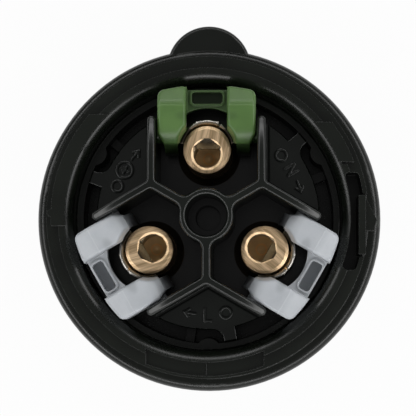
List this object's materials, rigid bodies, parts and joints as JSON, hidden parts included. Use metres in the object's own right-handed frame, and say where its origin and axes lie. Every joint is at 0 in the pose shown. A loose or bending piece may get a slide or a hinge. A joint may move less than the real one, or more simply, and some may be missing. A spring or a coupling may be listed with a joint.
{
  "type": "industrial plug",
  "caption": "Front half of a round three-pole industrial plug, open at the wiring side, with brass barrel terminals and lever clamps.",
  "frame": {"origin": "centre of the shroud's mouth, on the plane of its front rim", "axes": "+Z along the plug's axis, from the mouth to the wiring side; +Y towards the key of the shroud"},
  "size_m": [0.0478, 0.0509, 0.06],
  "materials": {
    "housing_plastic": "fine moulded texture, black",
    "carrier_plastic": "smooth satin, black",
    "pin_brass": "turned and sawn, bright edges",
    "spring_steel": "rolled strip",
    "lever_green": "waxy moulded plastic, green",
    "lever_grey": "waxy moulded plastic, light grey"
  },
  "bodies": {
    "plug": {"front_housing": "housing_plastic", "contact_carrier": "carrier_plastic", "contact_pin_earth": "pin_brass", "contact_pin_line": "pin_brass", "contact_pin_neutral": "pin_brass", "clamp_spring_earth": "spring_steel", "clamp_spring_line": "spring_steel", "clamp_spring_neutral": "spring_steel"},
    "lever_earth": {"clamp_lever_earth": "lever_green"},
    "lever_line": {"clamp_lever_line": "lever_grey"},
    "lever_neutral": {"clamp_lever_neutral": "lever_grey"}
  },
  "joints": [
    {"name": "lever_earth_lift", "type": "hinge", "parent": "plug", "child": "lever_earth", "pos_m": [0, 0.0113, 0.052], "axis": [1, 0, 0], "range_deg": [0, 22]},
    {"name": "lever_line_lift", "type": "hinge", "parent": "plug", "child": "lever_line", "pos_m": [-0.00979, -0.00565, 0.052], "axis": [-0.5, 0.866, 0], "range_deg": [0, 22]},
    {"name": "lever_neutral_lift", "type": "hinge", "parent": "plug", "child": "lever_neutral", "pos_m": [0.00979, -0.00565, 0.052], "axis": [-0.5, -0.866, 0], "range_deg": [0, 22]}
  ]
}
